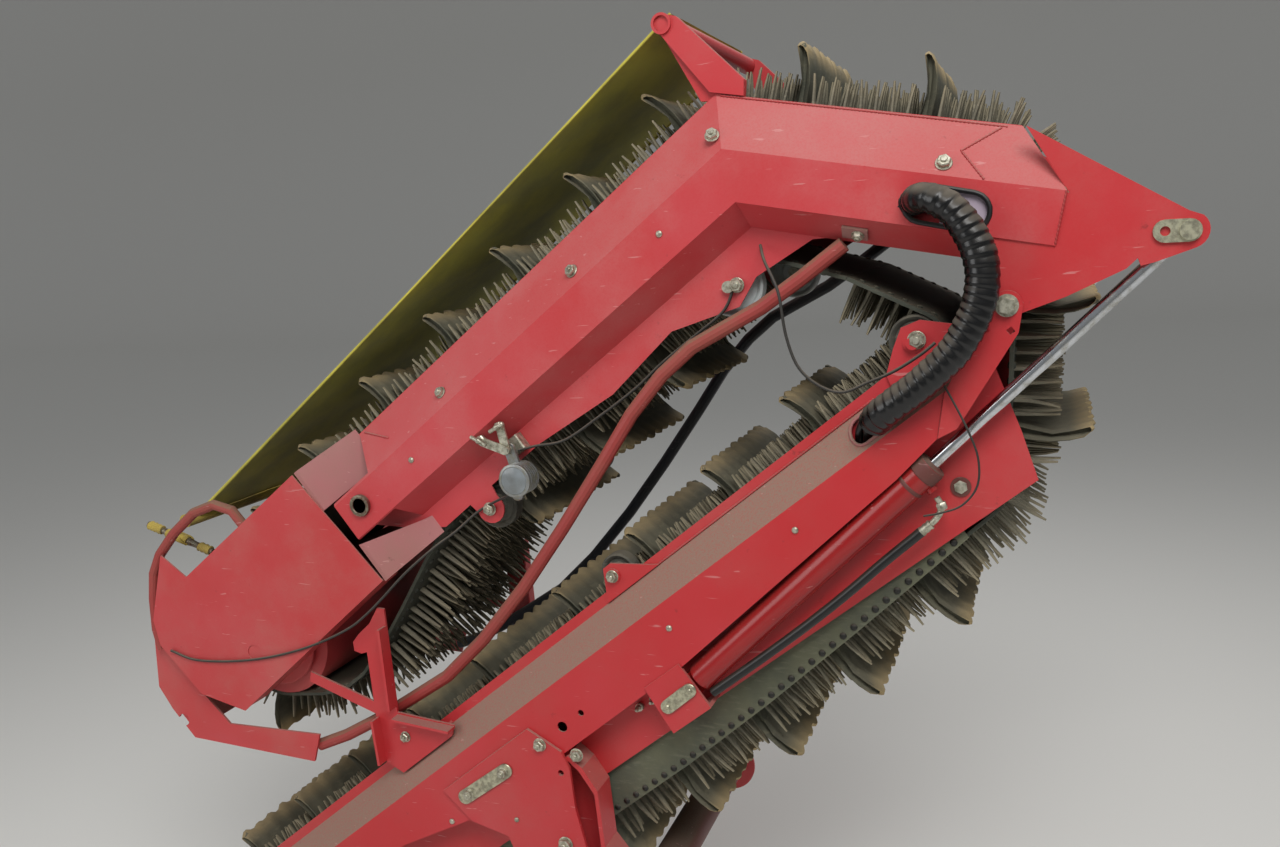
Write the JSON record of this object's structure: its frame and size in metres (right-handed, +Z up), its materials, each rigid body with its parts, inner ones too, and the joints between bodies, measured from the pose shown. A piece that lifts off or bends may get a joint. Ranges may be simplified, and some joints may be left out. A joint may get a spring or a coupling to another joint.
{
  "type": "potato harvester discharge elevator",
  "caption": "Folding discharge elevator with a box-sided arm, a bent neck folded over it, a fingered belt with flights, twin lift cylinders and a canvas strip.",
  "frame": {"origin": "centre of the base pivot bore, midway across the arm", "axes": "+X along the ground from the base to the fold, +Y across the arm to the far side along the pivot bore, +Z up"},
  "size_m": [2.4101, 0.896, 2.4032],
  "materials": {
    "red_sheet": "satin",
    "dark_red_tube": "satin",
    "dusty_red_plate": "matt",
    "zinc_steel": "satin",
    "chromed_rod": "polished",
    "belt_rubber": "matt",
    "wheel_rubber": "matt",
    "hose_rubber": "satin",
    "canvas": "matt",
    "lamp_aluminium": "satin"
  },
  "bodies": {
    "main_arm": {"arm_web_near": "red_sheet", "arm_web_far": "red_sheet", "arm_box_near": "red_sheet", "arm_box_far": "red_sheet", "hinge_bracket_near": "red_sheet", "hinge_bracket_far": "red_sheet", "hinge_pins": "zinc_steel", "belt_wheel_brackets": "red_sheet", "arm_belt_wheels": "wheel_rubber", "base_bracket_near": "red_sheet", "base_bracket_far": "red_sheet", "base_pivot_tube": "dark_red_tube", "base_drum": "dark_red_tube", "arm_end_roller": "dark_red_tube", "arm_cross_tubes": "dark_red_tube", "cradle_near": "red_sheet", "cradle_far": "red_sheet", "cylinder_anchors": "red_sheet", "cylinder_pins": "zinc_steel", "belt_lower_turns": "belt_rubber", "belt_lower_runs": "belt_rubber", "belt_fold_outer": "belt_rubber", "belt_fold_inner": "belt_rubber", "hose_bundle": "hose_rubber", "cylinder_hose": "hose_rubber"},
    "neck": {"neck_web_near": "red_sheet", "neck_web_far": "red_sheet", "neck_box_near": "red_sheet", "neck_box_far": "red_sheet", "tail_plate_near": "red_sheet", "tail_plate_far": "red_sheet", "rod_pin_keepers": "zinc_steel", "canvas_frame": "red_sheet", "canvas": "canvas", "canvas_bar": "canvas", "head_cover_near": "red_sheet", "head_cover_far": "red_sheet", "head_joint_plates": "dusty_red_plate", "head_drum": "red_sheet", "tip_hoops": "red_sheet", "tip_guard": "red_sheet", "guard_tube_near": "red_sheet", "guard_tube_far": "red_sheet", "neck_belt_wheels": "wheel_rubber", "neck_support_rollers": "dark_red_tube", "neck_end_roller": "dark_red_tube", "neck_cross_tubes": "dark_red_tube", "lamp_clamp": "zinc_steel", "belt_upper_turns": "belt_rubber", "belt_upper_runs": "belt_rubber"},
    "lamp": {"work_lamp": "lamp_aluminium"},
    "barrel_near": {"cylinder_barrel_near": "red_sheet"},
    "rod_near": {"cylinder_rod_near": "chromed_rod"},
    "barrel_far": {"cylinder_barrel_far": "red_sheet"},
    "rod_far": {"cylinder_rod_far": "chromed_rod"}
  },
  "joints": [
    {"name": "fold", "type": "hinge", "parent": "main_arm", "child": "neck", "pos_m": [0.7959, 0, 1.34801], "axis": [0, 1, 0], "range_deg": [0, 120], "deforming": ["belt_fold_outer", "belt_fold_inner", "hose_bundle"]},
    {"name": "swing_near", "type": "hinge", "parent": "main_arm", "child": "barrel_near", "pos_m": [0.15594, -0.36, 0.56759], "axis": [0, 1, 0], "range_deg": [-0.5, 12], "deforming": ["cylinder_hose"]},
    {"name": "extend_near", "type": "slide", "parent": "barrel_near", "child": "rod_near", "axis": [0.7196, 0, 0.6944], "range_m": [-0.505, 0.005]},
    {"name": "swing_far", "type": "hinge", "parent": "main_arm", "child": "barrel_far", "pos_m": [0.15594, 0.36, 0.56759], "axis": [0, 1, 0], "range_deg": [-0.5, 12]},
    {"name": "extend_far", "type": "slide", "parent": "barrel_far", "child": "rod_far", "axis": [0.7196, 0, 0.6944], "range_m": [-0.505, 0.005]},
    {"name": "lamp_tilt", "type": "hinge", "parent": "neck", "child": "lamp", "pos_m": [-0.21901, -0.372, 1.07839], "axis": [0, 1, 0], "range_deg": [-20, 20]}
  ],
  "couplings": [
    {"joint": "swing_near", "follows": "fold", "ratio": 0.096},
    {"joint": "swing_far", "follows": "fold", "ratio": 0.096},
    {"joint": "extend_near", "follows": "fold", "m_per_rad": -0.24},
    {"joint": "extend_far", "follows": "fold", "m_per_rad": -0.24}
  ]
}
